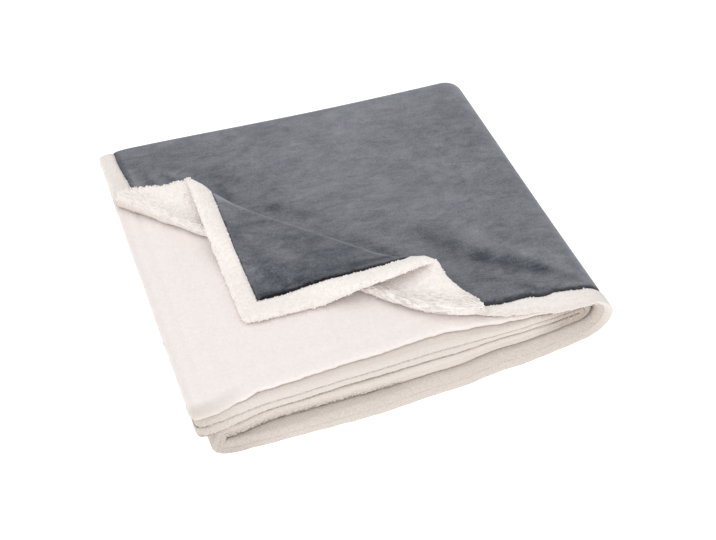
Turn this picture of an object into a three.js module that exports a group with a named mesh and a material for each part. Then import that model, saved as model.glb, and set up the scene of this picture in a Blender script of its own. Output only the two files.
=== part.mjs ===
// A throw blanket of grey plush with a sherpa back, folded into a neat stack.
// Millimetres, +Z up. The origin is on the floor, at the middle of the folded footprint.
// +X runs along the folded width, and the back fold faces +Y.
// The cloth is laid out flat in s (along the strip) and t (across it), and is carried from there
// into the stack by three folds: the back fold, the folds along the strip, and the corner.
import * as THREE from 'three';

// The two panels
const PLY = 6.6;                    // thickness of both panels together
const PLUSH = 1.7;                  // thickness of the grey panel
const SEWN_GAP = 0.3;               // between the two panels, back to back
const SEAM_GAP = 1.5;               // from the plush's cut edge to the turned border
const BORDER = 25;                  // sherpa turned over onto the grey face
const RIM_RISE = 0.3;               // how far the turned border stands above the plush
const EDGE_ROUND = 1.8;             // rounding of the cloth's outer edge

// The folded stack
const PITCH = 8.8;                  // from one layer to the next
const WIDTH = 520;
const DEPTH = 486;
const FRONT_BULGE = 22;             // how far the lowest layer comes forward
const LEFT_FOLD_INSET = 19.5;       // the lower half ends this far short of the upper half
const INNER_LOOP_INSET = 3.5;       // extra space between the two loops at the right
const LOOSE_END_INSET = 2.5;        // the second pair of layers ends this far short of the top
const RIGHT_LIFT = 13;              // how far the right loop rounds up off the floor
const RIGHT_LIFT_RUN = 75;
const LEFT_TAPER = 13;              // the front-left corner lies this far in from the back-left one
const TOP_WAVE = 1.6;
const STACK_HEIGHT = 8 * PITCH;
const FRONT = DEPTH / 2 - FRONT_BULGE;

// The turned-back corner: one fold towards the back, then a second one forward again
const CORNER_FOLD_LEFT = 125.5;     // where the first fold crosses the left edge, along Y
const CORNER_FOLD_FRONT = 73;       // where it crosses the front edge, along X
const FLAP_WIDTH = 58;              // from the first fold to the second
const CORNER_RADIUS = 4.2;
const DESCENT_ANGLE = 28;           // slope where the tip comes down past the first fold
const DESCENT_RADIUS = 42;
const LOFT = 16;                    // how far the stiff hems hold the flap and the second fold up
const LOFT_REACH = 23;
const LOFT_FROM = 0.25;             // share of the first fold at which the flap starts to rise
const LOFT_START = 9;               // cloth length from there to where the flap is up
const PRESS = 0.8;                  // how far the second fold is pressed down between its hems
const SPREAD = 24;                  // how far the top layer is pushed right where the first fold ends
const SPREAD_X = 79;
const SPREAD_REACH = 46;

// Mesh steps
const CELL = 80;
const SMALL_TURN_STEPS = 6;
const LARGE_TURN_STEPS = 8;
const SLOPE_STEPS = 3;
const FLAT_STEPS = 2;
const SNAP = 0.4;

const FACE_COLOUR = 0x7c7f86;
const SHERPA_COLOUR = 0xf3eee8;

const rad = (degrees) => degrees * Math.PI / 180;
const clamp = (value, low, high) => Math.min(high, Math.max(low, value));
const smooth = (value) => {
  const v = clamp(value, 0, 1);
  return v * v * (3 - 2 * v);
};

// A path in a plane, from rows that each give a length and a turn in degrees.
// at(distance) gives the point { a, b } and the heading there.
function walk(a, b, heading, rows) {
  const legs = [];
  let length = 0;
  for (const row of rows) {
    const leg = { ...row, start: length, a, b, heading };
    legs.push(leg);
    const end = along(leg, row.length);
    a = end.a;
    b = end.b;
    heading = end.heading;
    length += row.length;
  }
  const at = (distance) => {
    const leg = legs.findLast((item) => item.start <= distance) ?? legs[0];
    return along(leg, distance - leg.start);
  };
  return { legs, length, at };
}

function along(leg, distance) {
  if (!leg.turn) {
    const a = leg.a + distance * Math.cos(leg.heading);
    const b = leg.b + distance * Math.sin(leg.heading);
    return { a, b, heading: leg.heading };
  }
  const radius = leg.length / rad(leg.turn);
  const heading = leg.heading + distance / radius;
  const a = leg.a + radius * (Math.sin(heading) - Math.sin(leg.heading));
  const b = leg.b - radius * (Math.cos(heading) - Math.cos(leg.heading));
  return { a, b, heading };
}

const run = (length, name) => ({ name, length, turn: 0 });
const bend = (radius, turn, name) => ({ name, length: radius * rad(Math.abs(turn)), turn });

// Across the strip: lower layer, back fold, upper layer. a is Y, b the offset from the pair's middle.
const BACK_RADIUS = PITCH / 2;
const BACK_CENTRE = DEPTH / 2 - BACK_RADIUS - PLY / 2;
const LAYER_RUN = BACK_CENTRE + FRONT;
const across = walk(-FRONT, -BACK_RADIUS, 0, [
  run(LAYER_RUN, 'lower'),
  bend(BACK_RADIUS, 180, 'back'),
  run(LAYER_RUN, 'upper'),
]);
const HALF_CLOTH = across.length / 2;

// Along the strip: a is X, b is Z. Four pairs of layers, joined by a large loop that holds a small one.
const PAIR_HALF = PITCH / 2 + PLY / 2;
const OUTER_RADIUS = 3 * PITCH;
const LOOP_X = WIDTH / 2 - OUTER_RADIUS - PAIR_HALF;
const LEFT_X = -WIDTH / 2 + LEFT_FOLD_INSET + PITCH + PAIR_HALF;
const INNER_X = LOOP_X - INNER_LOOP_INSET;
const LOOSE_X = -WIDTH / 2 + LOOSE_END_INSET;
const FLOOR_DROP = (PITCH - PLY) / 2;
const strip = walk(-WIDTH / 2, 7 * PITCH - FLOOR_DROP, 0, [
  run(LOOP_X + WIDTH / 2, 'top'),
  bend(OUTER_RADIUS, -180, 'outer loop'),
  run(LOOP_X - LEFT_X, 'bottom'),
  bend(PITCH, -180, 'left fold'),
  run(INNER_X - LEFT_X, 'third'),
  bend(PITCH, 180, 'inner loop'),
  run(INNER_X - LOOSE_X, 'second'),
]);

// The corner, across its first fold: a is the distance from that fold, b the height above the layer
const DROP = 4 * CORNER_RADIUS;
const ARC_DROP = 2 * DESCENT_RADIUS * (1 - Math.cos(rad(DESCENT_ANGLE)));
const SLOPE_LENGTH = (DROP - ARC_DROP) / Math.sin(rad(DESCENT_ANGLE));
const FLAP_RUN = FLAP_WIDTH - 2 * CORNER_RADIUS;
const corner = walk(CORNER_RADIUS, 0, Math.PI, [
  bend(CORNER_RADIUS, -180, 'first fold'),
  run(FLAP_RUN, 'flap'),
  bend(CORNER_RADIUS, 180, 'second fold'),
  run(FLAP_RUN, 'tip'),
  bend(DESCENT_RADIUS, DESCENT_ANGLE, 'over the first fold'),
  run(SLOPE_LENGTH, 'slope'),
  bend(DESCENT_RADIUS, -DESCENT_ANGLE, 'landing'),
  run(WIDTH, 'resting tip'),
]);

// How far each front edge stands forward (+) or back (-) of the stack's front plane.
// A row lies at x on a straight leg, or halfway round a turn.
const FRONT_EDGES = [
  { leg: 'top', x: -250, upper: -15, lower: 6 },
  { leg: 'top', x: -160, upper: -13, lower: -12 },
  { leg: 'top', x: -60, upper: -9, lower: -18 },
  { leg: 'top', x: 50, upper: -14, lower: -25 },
  { leg: 'top', x: 125, upper: -21, lower: -17 },
  { leg: 'top', x: 190, upper: -5, lower: -13 },
  { leg: 'outer loop', upper: 0, lower: -15 },
  { leg: 'bottom', x: 190, upper: 4, lower: -9 },
  { leg: 'bottom', x: 125, upper: 8, lower: -4 },
  { leg: 'bottom', x: 50, upper: 16, lower: 5 },
  { leg: 'bottom', x: -60, upper: FRONT_BULGE, lower: 14 },
  { leg: 'bottom', x: -160, upper: 21, lower: 17 },
  { leg: 'bottom', x: -220, upper: 20, lower: 15 },
  { leg: 'third', x: -220, upper: 8, lower: 11 },
  { leg: 'third', x: -160, upper: 3, lower: 3 },
  { leg: 'third', x: -60, upper: 1, lower: 2 },
  { leg: 'third', x: 50, upper: -4, lower: -2 },
  { leg: 'third', x: 125, upper: -10, lower: -11 },
  { leg: 'second', x: 190, upper: -10, lower: -12 },
  { leg: 'second', x: 125, upper: -11, lower: -10 },
  { leg: 'second', x: 50, upper: -6, lower: -14 },
  { leg: 'second', x: -60, upper: -3, lower: -8 },
  { leg: 'second', x: -160, upper: 2, lower: -4 },
  { leg: 'second', x: -250, upper: 16, lower: 2 },
];

function distanceAt(row) {
  const leg = strip.legs.find((item) => item.name === row.leg);
  return leg.start + (leg.turn ? leg.length / 2 : Math.abs(row.x - leg.a));
}

const edgeRows = FRONT_EDGES.map((row) => ({ ...row, s: distanceAt(row) }));

function edgeOffset(s, side) {
  const next = edgeRows.findIndex((row) => row.s > s);
  if (next === 0) {
    return edgeRows[0][side];
  }
  if (next < 0) {
    return edgeRows.at(-1)[side];
  }
  const before = edgeRows[next - 1];
  const after = edgeRows[next];
  const share = smooth((s - before.s) / (after.s - before.s));
  return before[side] + share * (after[side] - before[side]);
}

// The first corner fold on the flat cloth, and the distance q from it, less than 0 beyond the fold
const foldRun = CORNER_FOLD_FRONT + WIDTH / 2;
const foldFall = CORNER_FOLD_LEFT + FRONT;
const foldLength = Math.hypot(foldRun, foldFall);
const AWAY = { x: foldFall / foldLength, y: foldRun / foldLength };

const flatPoint = (s, t) => ({ x: s - WIDTH / 2, y: across.at(HALF_CLOTH + t).a });

function cornerDistance(s, t) {
  const flat = flatPoint(s, t);
  return (flat.x + WIDTH / 2) * AWAY.x + (flat.y - CORNER_FOLD_LEFT) * AWAY.y;
}

// Lifts the flap and the second fold where the stiff hems run, and presses the fold between them
function cornerLoft(s, t, distance) {
  const flat = flatPoint(s, t);
  const [first, , second, , , slope] = corner.legs;
  const middle = second.start + second.length / 2;
  const start = first.length * LOFT_FROM;
  const rise = smooth((distance - start) / LOFT_START);
  const fall = 1 - smooth((distance - middle) / (slope.start - middle));
  const fromLeft = (flat.x + WIDTH / 2) / LOFT_REACH;
  const fromFront = (flat.y + FRONT) / LOFT_REACH;
  const hems = Math.exp(-fromLeft * fromLeft) + Math.exp(-fromFront * fromFront);
  const pressed = smooth(distance / middle);
  return fall * (LOFT * rise * hems - PRESS * pressed * (1 - Math.min(hems, 1)));
}

// Draws the front-left corner in, pushes the top layer aside where the first fold ends,
// rounds the right loop up off the floor, and lets the top swell
function settle(point, onTop) {
  const toFront = (DEPTH / 2 - point.y) / DEPTH;
  const toLeft = clamp((LOOP_X - point.x) / (LOOP_X + WIDTH / 2), 0, 1);
  point.x += LEFT_TAPER * toFront * toLeft;
  if (onTop) {
    const away = Math.hypot(point.x - SPREAD_X, point.y + FRONT) / SPREAD_REACH;
    point.x += SPREAD * Math.exp(-away * away);
  }
  const share = point.z / STACK_HEIGHT;
  const pastLift = (point.x - LOOP_X + RIGHT_LIFT_RUN) / (WIDTH / 2 - LOOP_X + RIGHT_LIFT_RUN);
  const lift = RIGHT_LIFT * smooth(pastLift);
  const wave = TOP_WAVE * Math.sin(point.x / 83 + 1.1) * Math.cos(point.y / 97 + 0.4);
  point.z += lift * (1 - Math.min(share, 1)) + wave * share;
  return point;
}

// Carries a point of the flat cloth, w away from the middle of its thickness, into the stack.
// w is positive towards the grey side.
function place(s, t, w) {
  const profile = across.at(HALF_CLOTH + t);
  const side = t > 0 ? 'upper' : 'lower';
  const fromBack = clamp((BACK_CENTRE - profile.a) / LAYER_RUN, 0, 1);
  const y = profile.a + w * Math.sin(profile.heading) - edgeOffset(s, side) * fromBack;
  const offset = profile.b - w * Math.cos(profile.heading);
  const spine = strip.at(s);
  const onTop = side === 'upper' && s < strip.legs[1].start;
  const q = cornerDistance(s, t);
  if (onTop && q < CORNER_RADIUS) {
    const distance = CORNER_RADIUS - q;
    const turned = corner.at(distance);
    const shift = turned.a - q + w * Math.sin(turned.heading);
    const height = turned.b - w * Math.cos(turned.heading) + cornerLoft(s, t, distance);
    return settle(new THREE.Vector3(
      spine.a + shift * AWAY.x,
      y + shift * AWAY.y,
      spine.b + profile.b + height,
    ), onTop);
  }
  return settle(new THREE.Vector3(
    spine.a - offset * Math.sin(spine.heading),
    y,
    spine.b + offset * Math.cos(spine.heading),
  ), onTop);
}

// Grid lines on the flat cloth: even cells on a straight leg, finer ones round a turn
function legLines(path, startAt) {
  const lines = [];
  for (const leg of path.legs) {
    const turnSteps = leg.length > 2 * CELL / 3 ? LARGE_TURN_STEPS : SMALL_TURN_STEPS;
    const steps = leg.turn ? turnSteps : Math.ceil(leg.length / CELL);
    for (let i = 0; i < steps; i += 1) {
      lines.push(startAt + leg.start + leg.length * i / steps);
    }
  }
  lines.push(startAt + path.length);
  return lines;
}

function withBorder(lines) {
  const low = lines[0];
  const high = lines.at(-1);
  const seam = BORDER + SEAM_GAP;
  const inner = lines.filter((value) => value > low + 1.6 * BORDER && value < high - 1.6 * BORDER);
  return [low, low + BORDER, low + seam, ...inner, high - seam, high - BORDER, high];
}

const sLines = withBorder(legLines(strip, 0));
const tLines = withBorder(legLines(across, -HALF_CLOTH));

// Lines across the corner, where the cloth bends
function cornerLines() {
  const lines = [];
  for (const leg of corner.legs.slice(0, -1)) {
    const turnSteps = Math.abs(leg.turn) > 90 ? SMALL_TURN_STEPS : SLOPE_STEPS;
    const steps = leg.turn ? turnSteps : FLAT_STEPS;
    for (let i = 0; i < steps; i += 1) {
      lines.push(CORNER_RADIUS - leg.start - leg.length * i / steps);
    }
  }
  lines.push(CORNER_RADIUS - corner.legs.at(-1).start);
  return lines;
}

// Cuts a convex polygon of flat points where its distance from the corner fold is level
function cut(polygon, level) {
  const gaps = polygon.map((point) => cornerDistance(point.s, point.t) - level);
  if (Math.min(...gaps) > -SNAP || Math.max(...gaps) < SNAP) {
    return [polygon];
  }
  const near = [];
  const far = [];
  polygon.forEach((point, i) => {
    const j = (i + 1) % polygon.length;
    const next = polygon[j];
    if (gaps[i] > -SNAP) {
      far.push(point);
    }
    if (gaps[i] < SNAP) {
      near.push(point);
    }
    if ((gaps[i] >= SNAP && gaps[j] <= -SNAP) || (gaps[i] <= -SNAP && gaps[j] >= SNAP)) {
      const share = gaps[i] / (gaps[i] - gaps[j]);
      const crossing = {
        s: point.s + share * (next.s - point.s),
        t: point.t + share * (next.t - point.t),
      };
      far.push(crossing);
      near.push(crossing);
    }
  });
  return [near, far].filter((piece) => piece.length > 2);
}

// The flat cloth as convex polygons. Each knows whether it is part of the turned border,
// or of the field that the plush covers. Between them lies the seam gap.
function flatCells() {
  const cells = [];
  const levels = cornerLines();
  for (let i = 0; i + 1 < sLines.length; i += 1) {
    for (let j = 0; j + 1 < tLines.length; j += 1) {
      const fromEdge = Math.min(i, j, sLines.length - 2 - i, tLines.length - 2 - j);
      const border = fromEdge === 0;
      const field = fromEdge > 1;
      const [s0, s1, t0, t1] = [sLines[i], sLines[i + 1], tLines[j], tLines[j + 1]];
      const square = [{ s: s0, t: t0 }, { s: s1, t: t0 }, { s: s1, t: t1 }, { s: s0, t: t1 }];
      let pieces = [square];
      if (t0 > 0 && s1 <= strip.legs[1].start + SNAP) {
        for (const level of levels) {
          pieces = pieces.flatMap((piece) => cut(piece, level));
        }
      }
      for (const points of pieces) {
        cells.push({ points, border, field });
      }
    }
  }
  return cells;
}

// A closed surface that is gathered triangle by triangle, with shared corners
class Skin {
  constructor(locate) {
    this.locate = locate;
    this.index = new Map();
    this.positions = [];
    this.triangles = [];
  }

  corner(point, level) {
    const key = `${point.s.toFixed(3)} ${point.t.toFixed(3)} ${level}`;
    if (!this.index.has(key)) {
      const place3d = this.locate(point, level);
      this.index.set(key, this.positions.length / 3);
      this.positions.push(place3d.x, place3d.y, place3d.z);
    }
    return this.index.get(key);
  }

  // A fan from the first corner. The side that faces down takes the same fan, turned over,
  // so that both sides of a cell that isn't quite flat stay parallel.
  polygon(corners, turned = false) {
    for (let i = 1; i + 1 < corners.length; i += 1) {
      const [second, third] = turned ? [i + 1, i] : [i, i + 1];
      const triangle = [corners[0], corners[second], corners[third]];
      if (new Set(triangle).size === 3) {
        this.triangles.push(...triangle);
      }
    }
  }

  wall(from, to, low, high) {
    this.polygon([
      this.corner(from, low),
      this.corner(to, low),
      this.corner(to, high),
      this.corner(from, high),
    ]);
  }

  volume() {
    const [a, b, c] = [new THREE.Vector3(), new THREE.Vector3(), new THREE.Vector3()];
    let sum = 0;
    for (let i = 0; i < this.triangles.length; i += 3) {
      a.fromArray(this.positions, 3 * this.triangles[i]);
      b.fromArray(this.positions, 3 * this.triangles[i + 1]);
      c.fromArray(this.positions, 3 * this.triangles[i + 2]);
      sum += a.dot(b.cross(c)) / 6;
    }
    return sum;
  }

  geometry() {
    const indices = this.triangles.slice();
    if (this.volume() < 0) {
      for (let i = 0; i < indices.length; i += 3) {
        [indices[i + 1], indices[i + 2]] = [indices[i + 2], indices[i + 1]];
      }
    }
    const geometry = new THREE.BufferGeometry();
    geometry.setAttribute('position', new THREE.Float32BufferAttribute(this.positions, 3));
    geometry.setIndex(indices);
    geometry.computeVertexNormals();
    return geometry;
  }
}

const edgeKey = (from, to) => [from.s, from.t, to.s, to.t].map((value) => value.toFixed(3)).join(' ');

function edgesOf(cells) {
  const owners = new Map();
  for (const cell of cells) {
    cell.points.forEach((from, i) => {
      const to = cell.points[(i + 1) % cell.points.length];
      owners.set(edgeKey(from, to), cell);
    });
  }
  return owners;
}

// The border stands proud of the plush, but lies flush with it where the stack rests on the floor
function rimRise(s) {
  const [, outer, bottom, left] = strip.legs;
  const down = smooth((s - outer.start) / outer.length);
  const up = smooth((s - left.start) / left.length);
  return RIM_RISE * (1 - down + up * (s > bottom.start ? 1 : 0));
}

function sherpaPlace(point, level) {
  const seat = PLY / 2 - PLUSH - SEWN_GAP;
  const heights = { under: -PLY / 2, seat, rim: PLY / 2 + rimRise(point.s), edge: 0 };
  const inset = level === 'edge' ? 0 : EDGE_ROUND;
  const s = clamp(point.s, inset, strip.length - inset);
  const t = clamp(point.t, -HALF_CLOTH + inset, HALF_CLOTH - inset);
  return place(s, t, heights[level]);
}

function sherpaBack(cells) {
  const skin = new Skin(sherpaPlace);
  const owners = edgesOf(cells);
  for (const cell of cells) {
    const top = cell.border ? 'rim' : 'seat';
    skin.polygon(cell.points.map((point) => skin.corner(point, top)));
    skin.polygon(cell.points.map((point) => skin.corner(point, 'under')), true);
    cell.points.forEach((from, i) => {
      const to = cell.points[(i + 1) % cell.points.length];
      const neighbour = owners.get(edgeKey(to, from));
      if (!neighbour) {
        skin.wall(from, to, 'under', 'edge');
        skin.wall(from, to, 'edge', 'rim');
      } else if (cell.border && !neighbour.border) {
        skin.wall(from, to, 'seat', 'rim');
      }
    });
  }
  return skin.geometry();
}

function plushPlace(point, level) {
  return place(point.s, point.t, level === 'face' ? PLY / 2 : PLY / 2 - PLUSH);
}

function plushFace(cells) {
  const field = cells.filter((cell) => cell.field);
  const skin = new Skin(plushPlace);
  const owners = edgesOf(field);
  for (const cell of field) {
    skin.polygon(cell.points.map((point) => skin.corner(point, 'face')));
    skin.polygon(cell.points.map((point) => skin.corner(point, 'back')), true);
    cell.points.forEach((from, i) => {
      const to = cell.points[(i + 1) % cell.points.length];
      if (!owners.has(edgeKey(to, from))) {
        skin.wall(from, to, 'back', 'face');
      }
    });
  }
  return skin.geometry();
}

function clothMesh(name, geometry, colour) {
  const material = new THREE.MeshStandardMaterial({ color: colour, roughness: 0.95, metalness: 0 });
  const mesh = new THREE.Mesh(geometry, material);
  mesh.name = name;
  return mesh;
}

const cells = flatCells();
const blanket = new THREE.Group();
blanket.add(clothMesh('sherpa_back', sherpaBack(cells), SHERPA_COLOUR));
blanket.add(clothMesh('plush_face', plushFace(cells), FACE_COLOUR));

export default blanket;
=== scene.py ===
"""A folded throw blanket: a grey plush face and a white sherpa back with a turned border."""
import math

import bmesh
import bpy
import numpy as np
from mathutils import Matrix, Vector


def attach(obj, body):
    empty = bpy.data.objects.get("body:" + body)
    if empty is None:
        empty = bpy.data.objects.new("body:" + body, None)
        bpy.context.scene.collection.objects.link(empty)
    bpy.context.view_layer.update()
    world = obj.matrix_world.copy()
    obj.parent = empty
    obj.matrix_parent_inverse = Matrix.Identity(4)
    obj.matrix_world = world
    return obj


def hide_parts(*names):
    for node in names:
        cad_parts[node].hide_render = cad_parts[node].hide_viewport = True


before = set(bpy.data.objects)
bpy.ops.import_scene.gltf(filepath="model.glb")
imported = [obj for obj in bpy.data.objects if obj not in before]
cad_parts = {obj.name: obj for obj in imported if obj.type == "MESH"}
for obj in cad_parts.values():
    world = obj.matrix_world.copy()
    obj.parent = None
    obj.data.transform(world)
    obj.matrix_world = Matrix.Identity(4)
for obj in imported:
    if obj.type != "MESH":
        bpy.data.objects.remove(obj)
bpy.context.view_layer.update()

# The two panels, in metres
PLY = 0.0066
PLUSH = 0.0017
SEWN_GAP = 0.0003
SEAM_GAP = 0.0006
BORDER = 0.025

# The folded stack
PITCH = 0.0088
WIDTH = 0.520
DEPTH = 0.486
FRONT_BULGE = 0.022
LEFT_FOLD_INSET = 0.0195
INNER_LOOP_INSET = 0.0026
LOOSE_END_INSET = 0.0025
RIGHT_LIFT = 0.013
RIGHT_LIFT_RUN = 0.075
LEFT_TAPER = 0.013
TOP_WAVE = 0.0016
STACK_HEIGHT = 8 * PITCH
FRONT = DEPTH / 2 - FRONT_BULGE

# The turned-back corner
CORNER_FOLD_LEFT = 0.1262
CORNER_FOLD_FRONT = 0.0742
FLAP_WIDTH = 0.0582
CORNER_RADIUS = 0.0042
DESCENT_ANGLE = 28
DESCENT_RADIUS = 0.042
LOFT_FRONT = 0.0153
LOFT_LEFT = 0.0120
LOFT_REACH = 0.033
LOFT_FROM = 0.25
LOFT_START = 0.0067
LOFT_EARLY = 0.006          # how far before the first fold the front hem starts to rise
FOLD_PULL = 0.0055          # how far the risen hems draw the first fold back
FOLD_TIP = (-0.0050, 0.0050)    # and how its left end spreads, in x and y
HEEL = 0.0045               # how square the left fold's lower side is pressed
BACK_ROUND = 0.006          # how far the back fold's left end is drawn in
PRESS = 0.0008
SPREAD = 0.0233
SPREAD_X = 0.078
SPREAD_BACK = 0.014
SPREAD_REACH = 0.042
SQUEEZE = 0.55              # how much thinner the turned layers are pressed between their hems

# The soft edges
FREE_EDGE = 0.0042          # rounding of the border's outer edge on the top layer
PACKED_EDGE = 0.0022        # and where the layers are pressed together
CLOSED_EDGE = 0.0002        # and where sherpa lies on sherpa
CORNER_ROUND = 0.011        # rounding of the cloth's corners, seen from above
BORDER_PLUMP = 0.0011       # how far the border's two faces swell between edge and seam
SEAM_SHOULDER = 0.0035      # width over which the border rolls down into the seam
SEAM_DIP = 0.00012          # how far the sewing draws the outside in
PILE_ROLL = 0.0003          # the plush's thickness where its pile rolls down at the seam
EDGE_RINGS = (0.0, 0.00012, 0.00025, 0.001, 0.0022, 0.004, 0.0065, 0.0105, 0.0155, 0.020, 0.0225, 0.0242, 0.025,
              0.0256, 0.0268, 0.029, 0.033)


def smooth(value):
    v = np.clip(value, 0, 1)
    return v * v * (3 - 2 * v)


def ripple(u, seed, wavelength, waves=7):
    """A soft irregular wave along u, about -1 to 1, that is the same on every run."""
    dice = np.random.default_rng(seed)
    total = np.zeros_like(np.asarray(u, float))
    for stretch, phase in zip(dice.uniform(0.55, 2.2, waves), dice.uniform(0, math.tau, waves)):
        total = total + np.sin(math.tau * u / (wavelength * stretch) + phase)
    return total / math.sqrt(waves)


def straight(length, name):
    return name, length, 0.0


def bend(radius, turn, name):
    return name, radius * abs(math.radians(turn)), math.radians(turn)


class FoldPath:
    """A path in a plane, from legs that each give a name, a length and a turn."""

    def __init__(self, a, b, heading, legs):
        self.legs = []
        self.length = 0.0
        for name, length, turn in legs:
            leg = dict(name=name, length=length, turn=turn, start=self.length, a=a, b=b, heading=heading)
            self.legs.append(leg)
            a, b, heading = self.along(leg, length)
            self.length += length
        self.named = {leg["name"]: leg for leg in self.legs}

    @staticmethod
    def along(leg, distance):
        if not leg["turn"]:
            return (leg["a"] + distance * math.cos(leg["heading"]),
                    leg["b"] + distance * math.sin(leg["heading"]),
                    leg["heading"] + 0 * distance)
        radius = leg["length"] / leg["turn"]
        heading = leg["heading"] + distance / radius
        return (leg["a"] + radius * (np.sin(heading) - math.sin(leg["heading"])),
                leg["b"] - radius * (np.cos(heading) - math.cos(leg["heading"])),
                heading)

    def at(self, distance):
        distance = np.asarray(distance, float)
        a, b, heading = (np.zeros_like(distance) for _ in range(3))
        for i, leg in enumerate(self.legs):
            low = -np.inf if i == 0 else leg["start"]
            high = np.inf if i + 1 == len(self.legs) else self.legs[i + 1]["start"]
            here = (distance >= low) & (distance < high)
            a[here], b[here], heading[here] = self.along(leg, distance[here] - leg["start"])
        return a, b, heading


# Across the strip: lower layer, back fold, upper layer
BACK_RADIUS = PITCH / 2
BACK_CENTRE = DEPTH / 2 - BACK_RADIUS - PLY / 2
LAYER_RUN = BACK_CENTRE + FRONT
across = FoldPath(-FRONT, -BACK_RADIUS, 0.0, [
    straight(LAYER_RUN, "lower"),
    bend(BACK_RADIUS, 180, "back"),
    straight(LAYER_RUN, "upper"),
])
HALF_CLOTH = across.length / 2

# Along the strip: four pairs of layers, joined by a large loop that holds a small one
PAIR_HALF = PITCH / 2 + PLY / 2
OUTER_RADIUS = 3 * PITCH
LOOP_X = WIDTH / 2 - OUTER_RADIUS - PAIR_HALF
LEFT_X = -WIDTH / 2 + LEFT_FOLD_INSET + PITCH + PAIR_HALF
INNER_X = LOOP_X - INNER_LOOP_INSET
LOOSE_X = -WIDTH / 2 + LOOSE_END_INSET
FLOOR_DROP = (PITCH - PLY) / 2
strip = FoldPath(-WIDTH / 2, 7 * PITCH - FLOOR_DROP, 0.0, [
    straight(LOOP_X + WIDTH / 2, "top"),
    bend(OUTER_RADIUS, -180, "outer loop"),
    straight(LOOP_X - LEFT_X, "bottom"),
    bend(PITCH, -180, "left fold"),
    straight(INNER_X - LEFT_X, "third"),
    bend(PITCH, 180, "inner loop"),
    straight(INNER_X - LOOSE_X, "second"),
])
TOP_RUN = strip.named["top"]["length"]

# The corner, across its first fold
DROP = 4 * CORNER_RADIUS
ARC_DROP = 2 * DESCENT_RADIUS * (1 - math.cos(math.radians(DESCENT_ANGLE)))
SLOPE_LENGTH = (DROP - ARC_DROP) / math.sin(math.radians(DESCENT_ANGLE))
FLAP_RUN = FLAP_WIDTH - 2 * CORNER_RADIUS
corner = FoldPath(CORNER_RADIUS, 0.0, math.pi, [
    bend(CORNER_RADIUS, -180, "first fold"),
    straight(FLAP_RUN, "flap"),
    bend(CORNER_RADIUS, 180, "second fold"),
    straight(FLAP_RUN, "tip"),
    bend(DESCENT_RADIUS, DESCENT_ANGLE, "over the first fold"),
    straight(SLOPE_LENGTH, "slope"),
    bend(DESCENT_RADIUS, -DESCENT_ANGLE, "landing"),
    straight(WIDTH, "resting tip"),
])
SECOND_FOLD_MIDDLE = corner.named["second fold"]["start"] + corner.named["second fold"]["length"] / 2
FOLD_ACROSS = CORNER_FOLD_FRONT + WIDTH / 2
FOLD_DEEP = CORNER_FOLD_LEFT + FRONT
AWAY = np.array([FOLD_DEEP, FOLD_ACROSS]) / math.hypot(FOLD_ACROSS, FOLD_DEEP)

# How far each front edge stands forward: leg, x, upper layer, lower layer
FRONT_EDGES = [
    ("top", -0.250, -0.015, 0.006),
    ("top", -0.160, -0.013, -0.012),
    ("top", -0.060, -0.009, -0.018),
    ("top", 0.050, -0.006, -0.025),
    ("top", 0.090, -0.023, -0.021),
    ("top", 0.125, -0.017, -0.017),
    ("top", 0.160, -0.012, -0.015),
    ("top", 0.190, -0.002, -0.013),
    ("top", 0.212, -0.001, -0.014),
    ("outer loop", None, 0.001, -0.013),
    ("bottom", 0.190, 0.004, -0.009),
    ("bottom", 0.125, 0.008, -0.004),
    ("bottom", 0.050, 0.016, 0.005),
    ("bottom", -0.060, FRONT_BULGE, 0.014),
    ("bottom", -0.160, 0.021, 0.017),
    ("bottom", -0.220, 0.020, 0.015),
    ("third", -0.220, 0.008, 0.011),
    ("third", -0.160, 0.003, 0.003),
    ("third", -0.060, 0.001, 0.002),
    ("third", 0.050, -0.004, -0.002),
    ("third", 0.125, -0.010, -0.011),
    ("third", 0.190, -0.012, -0.013),
    ("inner loop", None, -0.015, -0.015),
    ("second", 0.190, -0.012, -0.013),
    ("second", 0.125, -0.011, -0.010),
    ("second", 0.050, -0.006, -0.014),
    ("second", -0.060, -0.003, -0.008),
    ("second", -0.160, 0.002, -0.004),
    ("second", -0.250, 0.016, 0.002),
]


def distance_at(name, x):
    leg = strip.named[name]
    return leg["start"] + (leg["length"] / 2 if leg["turn"] else abs(x - leg["a"]))


EDGE_S = np.array([distance_at(name, x) for name, x, _, _ in FRONT_EDGES])
EDGE_UPPER = np.array([row[2] for row in FRONT_EDGES])
EDGE_LOWER = np.array([row[3] for row in FRONT_EDGES])


def eased(value, stations, amounts):
    """Carries a value through a table of stations, with soft changes between them."""
    i = np.clip(np.searchsorted(stations, value, side="right"), 1, len(stations) - 1)
    share = smooth((value - stations[i - 1]) / (stations[i] - stations[i - 1]))
    return amounts[i - 1] + share * (amounts[i] - amounts[i - 1])


def edge_offset(s, upper, offset):
    """How far a front edge stands back. Past the top pair, the edges of a pair meet in one slope."""
    low, high = eased(s, EDGE_S, EDGE_LOWER), eased(s, EDGE_S, EDGE_UPPER)
    past = smooth((s - TOP_RUN) / 0.020)
    uneven = 0.00035 * np.where(upper, ripple(s, 11, 0.034), ripple(s, 12, 0.034)) * (1 - past)
    stepped = np.where(upper, high, low)
    sloped = low + (high - low) * np.clip(0.5 + 0.5 * offset / PAIR_HALF, 0, 1)
    return stepped + past * (sloped - stepped) + uneven


def fold_distance(s, t):
    """Distance from the corner's first fold on the flat cloth, less than 0 beyond it."""
    y = across.at(HALF_CLOTH + t)[0]
    return s * AWAY[0] + (y - CORNER_FOLD_LEFT) * AWAY[1]


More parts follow.
